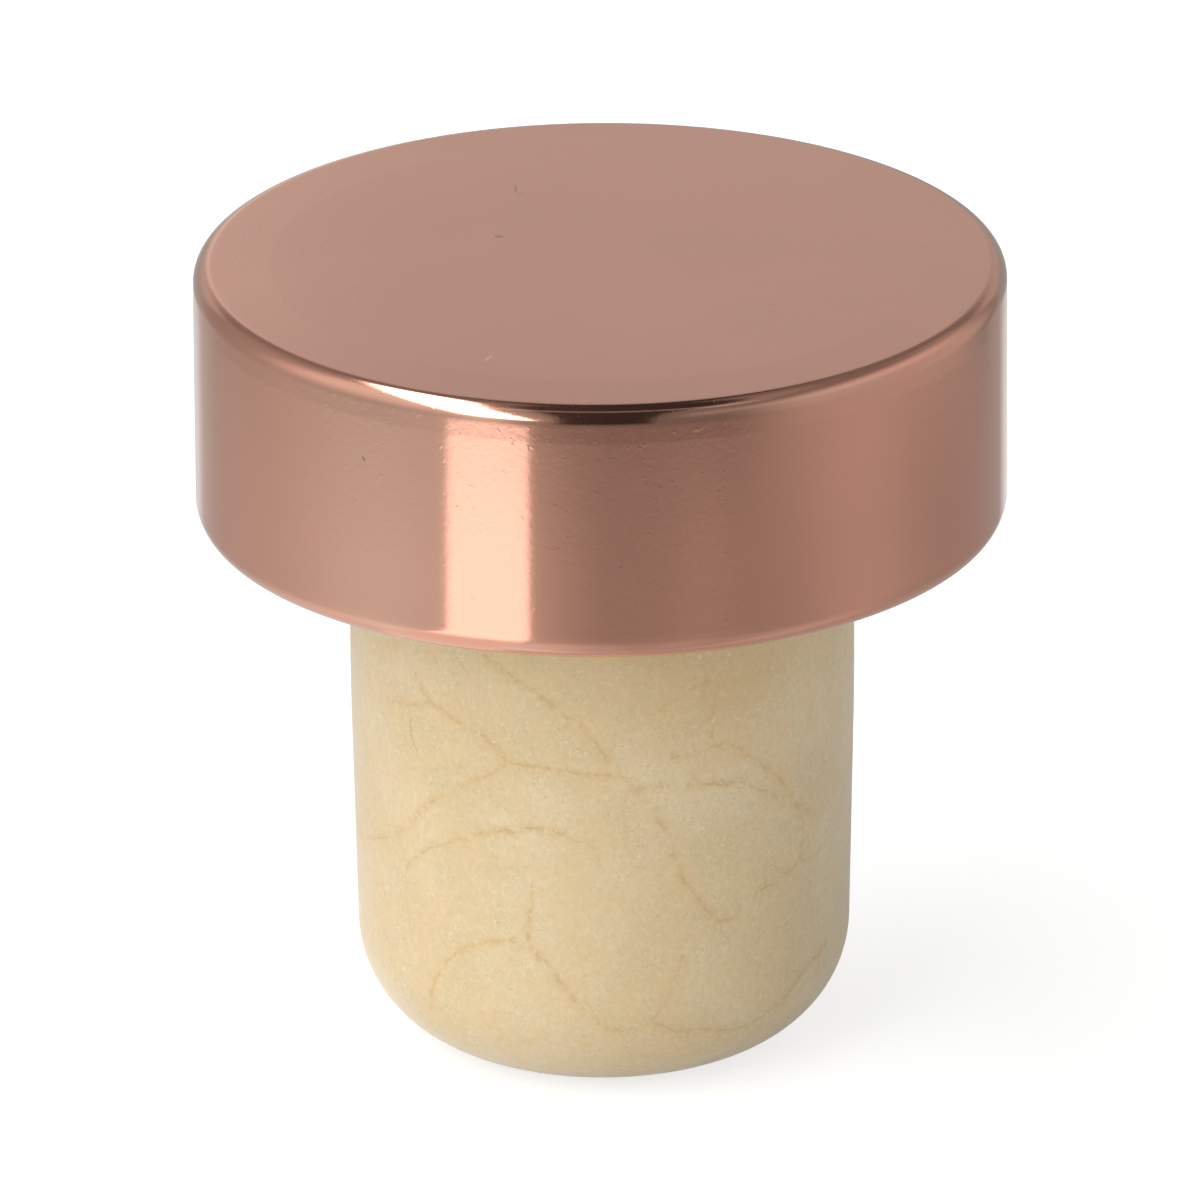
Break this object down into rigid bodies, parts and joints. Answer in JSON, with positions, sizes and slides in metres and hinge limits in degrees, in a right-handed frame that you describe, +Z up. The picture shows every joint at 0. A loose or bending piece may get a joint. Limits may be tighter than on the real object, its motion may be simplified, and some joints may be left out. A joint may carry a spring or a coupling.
{
  "type": "cork lid",
  "caption": "Bar-top bottle stopper: a low round copper-coloured metal head on a tapered marbled cork shank with a rounded end.",
  "frame": {"origin": "centre of the shank's flat lower end, which the lid can stand on", "axes": "+Z up the axis, from the shank's end to the head's flat top; the lid is round, so X and Y are free"},
  "size_m": [0.03, 0.03, 0.0303],
  "materials": {
    "copper_cap": "polished",
    "moulding": "satin",
    "cork": "matte"
  },
  "bodies": {
    "root": {"cap_shell": "copper_cap", "head_insert": "moulding", "cork_shank": "cork"}
  },
  "joints": []
}
